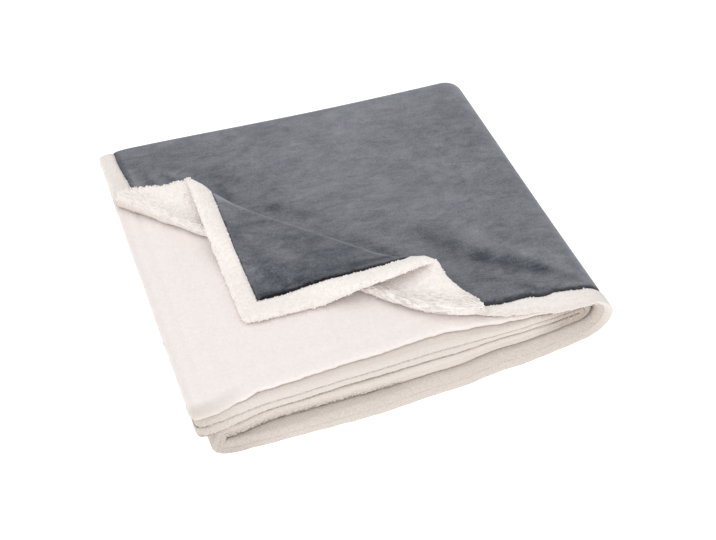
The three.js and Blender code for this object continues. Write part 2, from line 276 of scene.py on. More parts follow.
def corner_loft(s, t, distance):
    """Lifts the flap and the second fold where the stiff hems run. Also gives the squeeze between them."""
    y = across.at(HALF_CLOTH + t)[0]
    start = corner.named["first fold"]["length"] * LOFT_FROM
    rise = smooth((distance - start) / LOFT_START)
    fall = 1 - smooth((distance - SECOND_FOLD_MIDDLE) / (corner.named["slope"]["start"] - SECOND_FOLD_MIDDLE))
    left, front = np.exp(-(s / LOFT_REACH) ** 2), np.exp(-((y + FRONT) / LOFT_REACH) ** 2)
    hems = left + front
    pressed = smooth(distance / SECOND_FOLD_MIDDLE)
    early = smooth((distance + LOFT_EARLY) / (LOFT_EARLY + start + LOFT_START / 2))
    raised = rise * LOFT_LEFT * left + early * LOFT_FRONT * front
    loft = fall * (raised - PRESS * pressed * (1 - np.minimum(hems, 1)))
    over, rest = corner.named["over the first fold"]["start"], corner.named["resting tip"]["start"]
    squeeze = smooth(distance / 0.030) * (1 - smooth((distance - over) / (rest - over)))
    return loft, SQUEEZE * squeeze * np.clip(1 - hems, 0, 1)


# Soft creases in the top layers: from x, y to x, y, half width, height
CREASES = [
    (-0.118, 0.100, 0.046, -0.078, 0.0075, -0.0013),
    (0.094, -0.052, 0.215, -0.168, 0.0085, -0.0016),
    (0.115, -0.060, 0.245, -0.182, 0.0065, 0.0016),
    (0.120, -0.118, 0.190, -0.172, 0.0070, -0.0010),
    (0.150, -0.105, 0.232, -0.158, 0.0060, -0.0012),
    (-0.196, 0.178, -0.166, 0.134, 0.0036, 0.0014),
    (-0.184, 0.182, -0.152, 0.136, 0.0042, -0.0014),
    (-0.150, 0.142, -0.120, 0.092, 0.0050, -0.0015),
    (0.004, 0.030, 0.032, 0.000, 0.0036, 0.0008),
    (-0.020, 0.052, 0.010, 0.030, 0.0040, -0.0007),
]


def crease_height(x, y):
    total = np.zeros_like(x)
    for x0, y0, x1, y1, half_width, height in CREASES:
        along = np.array([x1 - x0, y1 - y0])
        length = np.hypot(*along)
        along = along / length
        run = (x - x0) * along[0] + (y - y0) * along[1]
        aside = (x - x0) * along[1] - (y - y0) * along[0]
        ends = smooth(run / (0.35 * length)) * smooth((length - run) / (0.35 * length))
        total = total + height * ends * np.exp(-(aside / half_width) ** 2)
    return total


def place(s, t, w):
    """Carries points of the flat cloth, w from the middle of its thickness towards the grey, into the stack."""
    s, t, w = np.broadcast_arrays(np.asarray(s, float), np.asarray(t, float), np.asarray(w, float))
    a, b, heading = across.at(HALF_CLOTH + t)
    upper = t > 0
    from_back = np.clip((BACK_CENTRE - a) / LAYER_RUN, 0, 1)
    offset = b - w * np.cos(heading)
    y = a + w * np.sin(heading) - edge_offset(s, upper, offset) * from_back
    y = y - BACK_ROUND * np.exp(-(s / 0.020) ** 2) * smooth((y - 0.18) / 0.06)
    spine_x, spine_z, spine_heading = strip.at(s)
    left_fold = strip.named["left fold"]
    heel = HEEL * np.sin(math.tau * np.clip((s - left_fold["start"]) / left_fold["length"], 0, 0.5))
    x = spine_x - (offset + heel) * np.sin(spine_heading)
    z = spine_z + offset * np.cos(spine_heading)
    q = fold_distance(s, t)
    on_top = upper & (s < TOP_RUN)
    turned = on_top & (q < CORNER_RADIUS)
    distance = CORNER_RADIUS - q
    ca, cb, corner_heading = corner.at(np.maximum(distance, 0))
    shift = ca - q + w * np.sin(corner_heading)
    loft, squeeze = corner_loft(s, t, distance)
    height = cb - w * np.cos(corner_heading)
    height = height - squeeze * (height - PLY / 2)
    pull = FOLD_PULL * np.where(turned, 1 - smooth((distance - 0.013) / 0.037), 1 - smooth(-distance / 0.014))
    pull = np.where(on_top, pull, 0)
    end = np.exp(-(s / 0.022) ** 2)
    x = np.where(turned, spine_x + shift * AWAY[0], x) + pull * (AWAY[0] + end * FOLD_TIP[0] / FOLD_PULL)
    y = np.where(turned, y + shift * AWAY[1], y) + pull * (AWAY[1] + end * FOLD_TIP[1] / FOLD_PULL)
    z = np.where(turned, spine_z + b + height, z) + np.where(on_top, loft, 0)
    to_left = np.clip((LOOP_X - x) / (LOOP_X + WIDTH / 2), 0, 1)
    x = x + LEFT_TAPER * (DEPTH / 2 - y) / DEPTH * to_left
    away = np.hypot(x - SPREAD_X, y + FRONT - SPREAD_BACK) / SPREAD_REACH
    x = x + np.where(on_top, SPREAD * np.exp(-away ** 2), 0)
    share = z / STACK_HEIGHT
    lift = RIGHT_LIFT * smooth((x - LOOP_X + RIGHT_LIFT_RUN) / (WIDTH / 2 - LOOP_X + RIGHT_LIFT_RUN))
    wave = TOP_WAVE * np.sin(x / 0.083 + 1.1) * np.cos(y / 0.097 + 0.4)
    z = z + lift * (1 - np.minimum(share, 1)) + wave * share
    z = z + crease_height(x, y) * smooth((z - 0.035) / 0.030)
    return np.stack([x, y, np.maximum(z, 0)], -1)


def steps(start, stop, step):
    count = max(1, round((stop - start) / step))
    return [start + (stop - start) * i / count for i in range(count)]


STEP_ALONG = {"top": 0.0052, "outer loop": 0.0042, "bottom": 0.0085, "left fold": 0.0033, "third": 0.0105,
              "inner loop": 0.0033, "second": 0.0105}
STEP_ACROSS = {"lower": 0.0125, "back": 0.0028, "upper": 0.0062}


def flat_lines(path, start, step):
    """Lines of the flat grid: rings at both edges, and even steps on each leg between them."""
    rings = list(EDGE_RINGS)
    low, high = rings[-1], path.length - rings[-1]
    lines = [start + ring for ring in rings[:-1]]
    for leg in path.legs:
        a, b = max(leg["start"], low), min(leg["start"] + leg["length"], high)
        lines += [start + value for value in steps(a, b, step[leg["name"]])]
    return lines + [start + high] + [start + path.length - ring for ring in rings[-2::-1]]


def corner_levels():
    """Distances from the first fold at which the corner's cloth bends."""
    levels = []
    for leg in corner.legs[:-1]:
        count = 12 if abs(leg["turn"]) > 2 else (5 if leg["turn"] else 1)
        levels += [CORNER_RADIUS - value for value in steps(leg["start"], leg["start"] + leg["length"],
                                                            leg["length"] / count)]
    return levels + [CORNER_RADIUS - corner.legs[-1]["start"]]


def flat_cloth():
    """The flat cloth as triangles in s and t, cut along the corner's fold lines."""
    s_lines = flat_lines(strip, 0.0, STEP_ALONG)
    t_lines = flat_lines(across, -HALF_CLOTH, STEP_ACROSS)
    bm = bmesh.new()
    grid = [[bm.verts.new((s, t, 0)) for t in t_lines] for s in s_lines]
    for i in range(len(s_lines) - 1):
        for j in range(len(t_lines) - 1):
            bm.faces.new((grid[i][j], grid[i + 1][j], grid[i + 1][j + 1], grid[i][j + 1]))
    back_end = across.named["upper"]["start"] - HALF_CLOTH
    to_t = BACK_CENTRE + back_end
    for level in corner_levels():
        def gap(point):
            return point.x * AWAY[0] + (to_t - point.y - CORNER_FOLD_LEFT) * AWAY[1] - level
        faces = []
        for face in bm.faces:
            gaps = [gap(v.co) for v in face.verts]
            if min(gaps) < 0 < max(gaps):
                middle = face.calc_center_median()
                if middle.x < TOP_RUN and middle.y > back_end:
                    faces.append(face)
        edges = {e for f in faces for e in f.edges}
        verts = {v for f in faces for v in f.verts}
        on_line = Vector((level / AWAY[0], to_t - CORNER_FOLD_LEFT, 0))
        bmesh.ops.bisect_plane(bm, geom=[*verts, *edges, *faces], dist=0.00025, plane_co=on_line,
                               plane_no=Vector((AWAY[0], -AWAY[1], 0)))
    bmesh.ops.triangulate(bm, faces=bm.faces[:])
    bm.verts.index_update()
    points = np.array([v.co[:2] for v in bm.verts])
    triangles = np.array([[v.index for v in f.verts] for f in bm.faces])
    bm.free()
    return points[:, 0], points[:, 1], triangles


flat_s, flat_t, flat_triangles = flat_cloth()
from_edge = np.minimum(np.minimum(flat_s, strip.length - flat_s),
                       np.minimum(flat_t + HALF_CLOTH, HALF_CLOTH - flat_t))


def rounded_corners(s, t):
    """Draws the square corners of the cloth in to a round."""
    ds = np.minimum(s, strip.length - s)
    dt = np.minimum(t + HALF_CLOTH, HALF_CLOTH - t)
    u = np.clip(1 - ds / CORNER_ROUND, 0, 1)
    v = np.clip(1 - dt / CORNER_ROUND, 0, 1)
    in_s = CORNER_ROUND * (u - u * np.sqrt(1 - v * v / 2))
    in_t = CORNER_ROUND * (v - v * np.sqrt(1 - u * u / 2))
    return s + np.where(s < strip.length / 2, in_s, -in_s), t + np.where(t < 0, in_t, -in_t)


# How much narrower the border is along the top layer's front: distance along the strip, amount
SEAM_SHIFTS = np.array([
    (0.000, 0.0000), (0.025, -0.0045), (0.045, -0.0048), (0.078, -0.0062), (0.105, -0.0048), (0.140, -0.0015),
    (0.175, 0.0000), (0.290, 0.0000), (0.330, 0.0080), (0.350, 0.0096), (0.372, 0.0076), (0.392, 0.0058),
    (0.412, 0.0024), (0.430, 0.0017), (0.455, -0.0047), (0.470, -0.0036), (0.488, 0.0000), (0.500, 0.0000),
])


def shifted_seam(s, t):
    """Draws the border in or out where it looks narrower or wider: at the back of the left side, and in front."""
    y = across.at(HALF_CLOTH + t)[0]
    at_back = smooth((y - 0.15) / 0.07) * (s < BORDER * 3)
    in_front = eased(np.clip(s, 0, 0.499), SEAM_SHIFTS[:, 0], SEAM_SHIFTS[:, 1]) * (t > 0)
    near_s = np.exp(-((s - BORDER) / 0.012) ** 2)
    near_t = np.exp(-((HALF_CLOTH - t - BORDER) / 0.012) ** 2)
    return s - 0.0055 * at_back * near_s, t + in_front * near_t


def wavy_edges(s, t):
    """Lets the soft edges of the border wander a little."""
    near_s = np.exp(-(np.minimum(s, strip.length - s) / 0.010) ** 2)
    near_t = np.exp(-((HALF_CLOTH - np.abs(t)) / 0.010) ** 2)
    wander = (0.00045 - 0.00015 * smooth((s - TOP_RUN) / 0.020)) * near_t * ripple(s, 22, 0.016)
    return s + 0.0006 * near_s * ripple(t, 21, 0.016), t + np.sign(t) * wander


soft_s, soft_t = wavy_edges(*rounded_corners(*shifted_seam(flat_s, flat_t)))


def plump(edge):
    """How far the border swells, from 0 at its edge and its seam to 1 between them."""
    return np.sin(np.pi * np.clip(edge / BORDER, 0, 1)) ** 0.7


def edge_round(edge, radius):
    inside = np.clip(edge / radius, 0, 1)
    return np.sqrt(np.clip(1 - (1 - inside) ** 2, 0, 1))


lumpy = 0.00035 * (ripple(flat_s, 31, 0.021) + ripple(flat_t, 32, 0.021))
past_top = smooth((flat_s - TOP_RUN) / 0.020)
free_edge = np.where(flat_t > 0, 1 - past_top, 0)


def sherpa_faces():
    """Heights of the sherpa's two sides: the turned border and the seat under the plush, and its outside."""
    seat = PLY / 2 - PLUSH - SEWN_GAP
    rounding = PACKED_EDGE + (FREE_EDGE - PACKED_EDGE) * free_edge
    packed = (PITCH / 2 - PLY / 2 - 0.0002) * np.clip(from_edge / 0.002, 0, 1) * (1 - free_edge)
    swell = BORDER_PLUMP * plump(from_edge)
    rim = (PLY / 2 + np.maximum(swell, packed) + lumpy * free_edge) * edge_round(from_edge, rounding)
    shoulder = smooth((BORDER - from_edge) / SEAM_SHOULDER)
    rim = seat + (rim - seat) * np.sqrt(shoulder)
    inner = np.where(from_edge <= BORDER + 1e-6, rim, seat)
    stitched = SEAM_DIP * np.exp(-((from_edge - BORDER) / 0.0030) ** 2)
    closed = past_top * smooth((0.034 - from_edge) / 0.012)
    second = smooth((flat_s - strip.named["inner loop"]["start"]) / 0.03)
    rounding = CLOSED_EDGE + 0.0008 * second
    rounding = rounding + (FREE_EDGE - rounding) * (1 - past_top)
    swell = 0.3 * BORDER_PLUMP * plump(from_edge) + lumpy
    swell = swell + closed * (PITCH / 2 - PLY / 2 - 0.0001 - swell)
    outer = -(PLY / 2 + swell) * edge_round(from_edge, rounding) + stitched * (1 - past_top)
    return inner, outer


def plush_faces():
    """Heights of the plush's pile side, rolled down at the seam, and of its back."""
    into = from_edge - BORDER - SEAM_GAP
    rolled = np.exp(-np.clip(into, 0, None) / 0.0022)
    face = PLY / 2 - (PLUSH - PILE_ROLL) * rolled
    return face, np.full_like(face, PLY / 2 - PLUSH)


def closed_sheet(name, used, upper, under, joined, shades):
    """A closed mesh from the two sides of part of the cloth. joined are the points that the sides share."""
    triangles = flat_triangles[used]
    keep = np.unique(triangles)
    number = np.full(len(flat_s), -1)
    number[keep] = np.arange(len(keep))
    top = number[triangles]
    count = len(keep)
    under_of = np.arange(count) + count
    shared = joined[keep]
    under_of[shared] = np.arange(count)[shared]
    bottom = under_of[top][:, ::-1]
    edges = np.concatenate([top[:, [0, 1]], top[:, [1, 2]], top[:, [2, 0]]])
    codes = edges[:, 0] * count + edges[:, 1]
    back_codes = edges[:, 1] * count + edges[:, 0]
    rim = edges[~np.isin(codes, back_codes)]
    walls = []
    for a, b in rim:
        if shared[a] and shared[b]:
            continue
        walls += [(b, a, under_of[a]), (b, under_of[a], under_of[b])]
    faces = [tuple(int(i) for i in row) for row in (*top, *bottom, *walls) if len(set(row)) == 3]
    s, t = soft_s[keep], soft_t[keep]
    points = np.concatenate([place(s, t, upper[keep]), place(s, t, under[keep])])
    flat = np.tile(np.stack([flat_s[keep], flat_t[keep]], -1), (2, 1))
    edge = np.tile(from_edge[keep], 2)
    mesh = bpy.data.meshes.new(name)
    mesh.from_pydata(points.tolist(), [], faces)
    corner_vertex = np.zeros(len(mesh.loops), np.int32)
    mesh.loops.foreach_get("vertex_index", corner_vertex)
    layer = mesh.uv_layers.new(name="flat")
    layer.data.foreach_set("uv", flat[corner_vertex].ravel())
    for shade, values in {"from_edge": edge, **shades(points, keep)}.items():
        stored = mesh.attributes.new(shade, "FLOAT", "POINT")
        stored.data.foreach_set("value", np.asarray(values, float))
    bm = bmesh.new()
    bm.from_mesh(mesh)
    bmesh.ops.delete(bm, geom=[v for v in bm.verts if not v.link_faces], context="VERTS")
    if bm.calc_volume(signed=True) < 0:
        bmesh.ops.reverse_faces(bm, faces=bm.faces[:])
    for face in bm.faces:
        face.smooth = True
    bm.to_mesh(mesh)
    bm.free()
    piece = bpy.data.objects.new(name, mesh)
    bpy.context.scene.collection.objects.link(piece)
    return piece


# Where the pile is brushed darker (-) or lighter (+) on top, with painted shade in crease troughs, painted light on
# crease ridges and a painted sheen along the back edge: from x, y to x, y, half width, amount
BRUSH_AND_SHADE_MARKS = [
    (-0.070, 0.063, -0.014, 0.018, 0.0070, -0.22),
    (0.004, -0.024, 0.042, -0.070, 0.0065, -0.36),
    (-0.130, 0.146, -0.100, 0.128, 0.0090, -0.26),
    (-0.126, 0.124, -0.121, 0.096, 0.0075, -0.34),
    (-0.120, 0.094, -0.072, 0.059, 0.0070, -0.18),
    (0.090, -0.043, 0.139, -0.107, 0.0130, -0.32),
    (0.139, -0.107, 0.196, -0.145, 0.0140, -0.44),
    (0.196, -0.145, 0.231, -0.174, 0.0060, -0.32),
    (0.139, -0.063, 0.191, -0.116, 0.0075, 0.18),
    (0.191, -0.116, 0.243, -0.180, 0.0065, 0.26),
    (0.208, -0.101, 0.230, -0.146, 0.0030, 0.14),
    (0.122, -0.134, 0.167, -0.168, 0.0065, -0.20),
    (0.147, -0.140, 0.232, -0.186, 0.0040, 0.20),
    (0.102, -0.124, 0.118, -0.170, 0.0060, 0.16),
    (-0.190, 0.173, -0.175, 0.149, 0.0034, -0.40),
    (-0.192, 0.179, -0.155, 0.157, 0.0038, 0.20),
    (-0.212, 0.177, -0.206, 0.158, 0.0042, -0.34),
    (-0.230, 0.192, -0.223, 0.158, 0.0032, 0.22),
    (-0.203, 0.170, -0.193, 0.155, 0.0038, 0.18),
    (-0.200, 0.205, -0.060, 0.120, 0.0420, -0.10),
    (0.060, 0.190, 0.250, 0.225, 0.0420, 0.20),
    (0.007, 0.221, 0.161, 0.222, 0.0140, 0.14),
    (0.240, 0.180, 0.239, 0.086, 0.0120, 0.13),
    (0.120, 0.136, 0.127, 0.081, 0.0120, 0.24),
    (0.138, 0.028, 0.211, 0.023, 0.0160, -0.16),
    (0.195, -0.013, 0.236, -0.034, 0.0110, 0.14),
    (0.044, -0.033, 0.072, -0.039, 0.0070, -0.24),
    (0.088, -0.054, 0.098, -0.083, 0.0080, -0.24),
    (0.112, -0.082, 0.107, -0.123, 0.0080, -0.20),
    (0.132, -0.126, 0.214, -0.172, 0.0065, -0.16),
    (0.177, -0.177, 0.203, -0.186, 0.0045, -0.36),
    (0.159, -0.104, 0.178, -0.120, 0.0060, 0.20),
    (0.025, 0.026, 0.088, 0.004, 0.0110, 0.12),
    (-0.068, 0.052, -0.040, 0.042, 0.0080, -0.18),
    (-0.200, 0.176, -0.162, 0.157, 0.0080, 0.18),
    (0.080, 0.060, 0.130, 0.010, 0.0300, 0.08),
    (0.240, 0.120, 0.262, -0.120, 0.0080, -0.08),
]


# The same on the turned-back tip
TIP_MARKS = [
    (-0.113, 0.011, -0.087, -0.029, 0.0120, 0.28),
    (-0.074, -0.040, -0.059, -0.048, 0.0070, 0.20),
    (-0.127, -0.081, -0.104, -0.086, 0.0050, -0.40),
    (-0.013, -0.082, 0.029, -0.082, 0.0050, -0.45),
    (-0.055, -0.046, -0.012, -0.055, 0.0120, -0.05),
    (-0.067, -0.005, -0.051, -0.020, 0.0070, -0.16),
    (-0.136, 0.084, -0.126, 0.041, 0.0070, 0.20),
    (-0.128, -0.040, -0.118, -0.070, 0.0060, 0.16),
]


def soft_line(x, y, x0, y0, x1, y1, half_width):
    """From 0 to 1 near the line between two points."""
    length = math.hypot(x1 - x0, y1 - y0)
    run = ((x - x0) * (x1 - x0) + (y - y0) * (y1 - y0)) / length
    aside = ((x - x0) * (y1 - y0) - (y - y0) * (x1 - x0)) / length
    past = np.maximum(0, np.maximum(-run, run - length))
    return np.exp(-(np.hypot(aside, past) / half_width) ** 2)


def plush_shades(points, keep):
    """Tone: how light the pile looks, from brushed pile and from painted light and shade. Ridge: a painted highlight
    along the second fold's crest. Ditch: how wide the painted shade beside a seam is.
    """
    s, t = np.tile(flat_s[keep], 2), np.tile(flat_t[keep], 2)
    x, y, _ = points.T
    on_top = (t > 0) & (s < TOP_RUN + 0.05)
    distance = CORNER_RADIUS - fold_distance(s, t)
    turned = on_top & (distance > 0)
    # Darker towards the front; the marks add brushed pile, and painted shade and light on the creases and the back
    # edge.
    tone = -0.05 - 0.10 * smooth((0.05 - y) / 0.25)
    for *line, amount in BRUSH_AND_SHADE_MARKS:
        tone = tone + amount * soft_line(x, y, *line)
    past_crest = distance - SECOND_FOLD_MIDDLE
    front = smooth((0.075 - (HALF_CLOTH - t)) / 0.045)
    side = smooth((0.060 - s) / 0.035)
    tip = -0.36 - 0.18 * front + 0.07 * side + 0.10 * np.exp(-((past_crest - 0.020) / 0.012) ** 2)
    tip = tip + 0.26 * smooth((0.110 - s) / 0.070) * np.exp(-(past_crest / 0.018) ** 2)
    for *line, amount in TIP_MARKS:
        tip = tip + amount * soft_line(x, y, *line)
    tone = np.where(turned, np.where(past_crest > 0, tip, -0.4), tone)
    crest = corner.named["second fold"]["start"] + 0.80 * corner.named["second fold"]["length"]
    ridge = np.where(turned, np.exp(-((distance - crest) / (0.0013 + 0.0030 * np.exp(-(s / 0.055) ** 2))) ** 2), 0)
    in_front = HALF_CLOTH - np.abs(t) < np.minimum(s, strip.length - s)
    # How far the painted shade beside the seam reaches: wide along the fronts, narrow elsewhere.
    ditch = np.where(turned, np.where(in_front, 0.95, 0.0), np.where(in_front, 0.75, 0.40))
    return {"tone": tone, "ridge": ridge, "ditch": ditch}


# Along the strip, for the lower and the upper layer: how dark the painted shade in the line beside the next layer is,
# and how strong the painted shade on the packed edges is, where their faces turn away from the light
LOOP_MIDDLE = strip.named["outer loop"]["start"] + strip.named["outer loop"]["length"] / 2
PACKED_LINES = [
    # s, lower line, upper line, lower shade, upper shade
    (0.0, 0.45, 0.00, 1.10, 0.00),
    (0.03, 0.30, 0.00, 0.70, 0.00),
    (0.07, 0.20, 0.00, 0.00, 0.00),
    (TOP_RUN - 0.15, 0.20, 0.00, 0.00, 0.00),
    (TOP_RUN - 0.05, 0.45, 0.00, 0.60, 0.00),
    (TOP_RUN - 0.02, 0.88, 0.00, 1.10, 0.10),
    (TOP_RUN + 0.01, 0.80, 0.00, 1.30, 0.30),
    (LOOP_MIDDLE - 0.02, 0.20, 0.00, 1.35, 0.60),
    (LOOP_MIDDLE + 0.02, 0.15, 0.00, 1.35, 0.95),
    (strip.named["bottom"]["start"], 0.00, 0.00, 1.30, 1.15),
    (strip.named["bottom"]["start"] + 0.15, 0.00, 0.00, 1.25, 1.15),
    (strip.named["bottom"]["start"] + 0.38, 0.00, 0.00, 1.32, 1.22),
    (strip.named["left fold"]["start"], 0.00, 0.00, 1.55, 1.65),
    (strip.named["third"]["start"], 1.00, 0.00, 1.50, 1.40),
    (strip.named["third"]["start"] + 0.05, 1.00, 0.00, 1.15, 1.15),
    (strip.named["third"]["start"] + 0.20, 1.00, 0.00, 1.00, 1.00),
    (strip.named["third"]["start"] + 0.25, 0.50, 0.00, 0.95, 0.95),
    (strip.named["inner loop"]["start"] - 0.06, 0.40, 0.00, 1.05, 1.05),
    (strip.named["inner loop"]["start"] - 0.02, 0.75, 0.60, 1.85, 1.85),
    (strip.named["second"]["start"] + 0.02, 0.60, 0.80, 1.90, 1.90),
    (strip.named["second"]["start"] + 0.06, 0.00, 0.80, 1.05, 1.05),
    (strip.named["second"]["start"] + 0.30, 0.00, 0.75, 0.95, 1.00),
    (strip.length - 0.05, 0.00, 0.75, 0.95, 1.00),
    (strip.length, 0.00, 0.90, 1.35, 1.40),
]


def along_strip(s, upper, lower_column, upper_column):
    table = np.array(PACKED_LINES)
    return np.where(upper, np.interp(s, table[:, 0], table[:, upper_column]),
                    np.interp(s, table[:, 0], table[:, lower_column]))


def sherpa_shades(points, keep):
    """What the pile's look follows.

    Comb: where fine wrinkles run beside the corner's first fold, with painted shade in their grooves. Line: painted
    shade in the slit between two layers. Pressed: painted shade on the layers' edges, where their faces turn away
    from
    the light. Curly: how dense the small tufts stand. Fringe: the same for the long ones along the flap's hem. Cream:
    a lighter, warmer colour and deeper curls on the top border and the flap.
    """
    s, t, edge = np.tile(flat_s[keep], 2), np.tile(flat_t[keep], 2), np.tile(from_edge[keep], 2)
    outside = np.arange(len(s)) >= len(keep)
    distance = CORNER_RADIUS - fold_distance(s, t)
    on_top = (t > 0) & (s < TOP_RUN + 0.01)
    turned = on_top & (distance > 0)
    comb = smooth((distance - 0.003) / 0.006) * (1 - smooth((distance - 0.014) / 0.026))
    comb = comb * (0.75 + 0.55 * smooth((s - 0.080) / 0.080))
    nose = 1 - smooth((edge - 0.0030) / 0.0025)
    seam = smooth((edge - 0.0228) / 0.0012) * (edge <= BORDER + 1e-6)
    flap = turned & outside & (distance < SECOND_FOLD_MIDDLE)
    in_border = edge <= BORDER + 1e-6
    on_face = np.where(on_top, seam, 0) * in_border * ~outside
    to_crest = 2 * (SECOND_FOLD_MIDDLE - distance)
    under_tip = (s - to_crest * AWAY[0] > -0.002) & (t + to_crest * AWAY[1] < HALF_CLOTH + 0.002)
    at_nose = np.where(on_top, 0.6, 0.0) * nose
    curly = np.maximum(np.maximum(at_nose, on_face), np.where(flap & ~under_tip, 0.10, 0))
    fringe = (1 - smooth((s - 0.002) / 0.002)) * smooth((distance - 0.004) / 0.006)
    fringe = np.where(on_top, fringe * (1 - smooth((distance - SECOND_FOLD_MIDDLE - 0.004) / 0.006)), 0)
    # Painted shade in the slit between two layers, at the mouth of the loose end and under the corner's first fold.
    slit = along_strip(s, t > 0, 1, 2) * ~outside * (edge < 0.012)
    line = slit * smooth((edge - np.where(slit > 0.90, -0.0005, 0.0001)) / 0.0009)
    mouth = 0.30 + 0.60 * smooth((s - strip.length + 0.020) / 0.010)
    mouth = mouth * outside * (s > strip.named["second"]["start"]) * smooth((edge - 0.0003) / 0.0009) * (edge < 0.006)
    line = np.maximum(line, mouth)
    under_fold = np.exp(-((distance - 0.0034) / 0.0015) ** 2) * (0.35 + 0.55 * smooth((s - 0.12) / 0.04))
    line = np.maximum(line, under_fold * (1 - smooth((s - 0.29) / 0.03)) * on_top * outside)
    reach = np.where(outside, 0.010, 0.018)
    inward = np.where(s < TOP_RUN, HALF_CLOTH - np.abs(t), edge)
    # Painted shade on the layers' front faces, which turn away from the light, on their left ends, and on the noses
    # of the corner's folds and hems.
    pressed = along_strip(s, t > 0, 3, 4) * (1 - smooth((inward - reach) / 0.012))
    pressed = np.where(on_top & ~turned & (s < 0.03), 0.40, pressed)
    bulge = np.exp(-((distance - 0.0035) / 0.0050) ** 2) * np.exp(-(s / 0.040) ** 2)
    hem_end = np.exp(-((distance - 0.0020) / 0.0060) ** 2) * np.exp(-((HALF_CLOTH - t) / 0.018) ** 2)
    hem_nose = np.where(outside, 0.85, 0.65 * (1 - smooth(edge / 0.0085))) * smooth((s - 0.330) / 0.040)
    hem_nose = hem_nose * (distance < 0) * (edge < 0.02)
    shaded = np.maximum(np.maximum(1.2 * bulge, hem_end), hem_nose)
    pressed = np.where(on_top, np.maximum(pressed, shaded), pressed)
    left_nose = 0.40 * (1 - smooth((s - 0.001) / 0.009))
    pressed = np.where((t < 0) & (s < 0.02), np.maximum(pressed, left_nose), pressed)
    return {"comb": np.where(on_top, comb, 0), "curly": np.where(points[:, 2] > 0.003, curly, 0),
            "fringe": fringe, "line": line, "pressed": pressed,
            "cream": np.where(on_top, np.maximum(in_border * ~outside, flap), 0)}


all_cloth = np.ones(len(flat_triangles), bool)
field = from_edge[flat_triangles].min(1) > BORDER + SEAM_GAP - 1e-5
sherpa = closed_sheet("sherpa", all_cloth, *sherpa_faces(), from_edge < 1e-6, sherpa_shades)
plush = closed_sheet("plush", field, *plush_faces(), np.zeros(len(flat_s), bool), plush_shades)


def new_material(name, **constants):
    material = bpy.data.materials.new(name)
    material.use_nodes = True
    shader = material.node_tree.nodes["Principled BSDF"]
    for socket, value in constants.items():
        shader.inputs[socket.replace("_", " ")].default_value = value
    return material, material.node_tree, shader


def node(tree, kind, inputs=None, **settings):
    made = tree.nodes.new(kind)
    for key, value in settings.items():
        setattr(made, key, value)
    for key, value in (inputs or {}).items():
        socket = made.inputs[key]
        if hasattr(value, "links"):
            tree.links.new(value, socket)
        else:
            socket.default_value = value
    return made


def blend_colours(tree, share, low, high):
    ramp = node(tree, "ShaderNodeMix", {0: share}, data_type="RGBA")
    for index, colour in ((6, low), (7, high)):
        if hasattr(colour, "links"):
            tree.links.new(colour, ramp.inputs[index])
        else:
            ramp.inputs[index].default_value = (*colour, 1)
    return ramp.outputs[2]


def ranged(tree, value, low, high, to_low=0.0, to_high=1.0, kind="LINEAR"):
    """Carries a value from low..high to to_low..to_high, and stops at both ends."""
    inputs = {"Value": value, "From Min": low, "From Max": high, "To Min": to_low, "To Max": to_high}
    return node(tree, "ShaderNodeMapRange", inputs, interpolation_type=kind).outputs["Result"]


def math_of(tree, operation, first, second):
    return node(tree, "ShaderNodeMath", {0: first, 1: second}, operation=operation).outputs[0]


def noise(tree, where, scale, detail=3.0, roughness=0.6, distortion=0.0):
    inputs = {"Vector": where, "Scale": scale, "Detail": detail, "Roughness": roughness, "Distortion": distortion}
    return node(tree, "ShaderNodeTexNoise", inputs).outputs["Fac"]


def attribute(tree, name):
    return node(tree, "ShaderNodeAttribute", attribute_name=name).outputs["Fac"]


GREY_LOW = (0.044, 0.049, 0.060)
GREY_HIGH = (0.322, 0.333, 0.364)


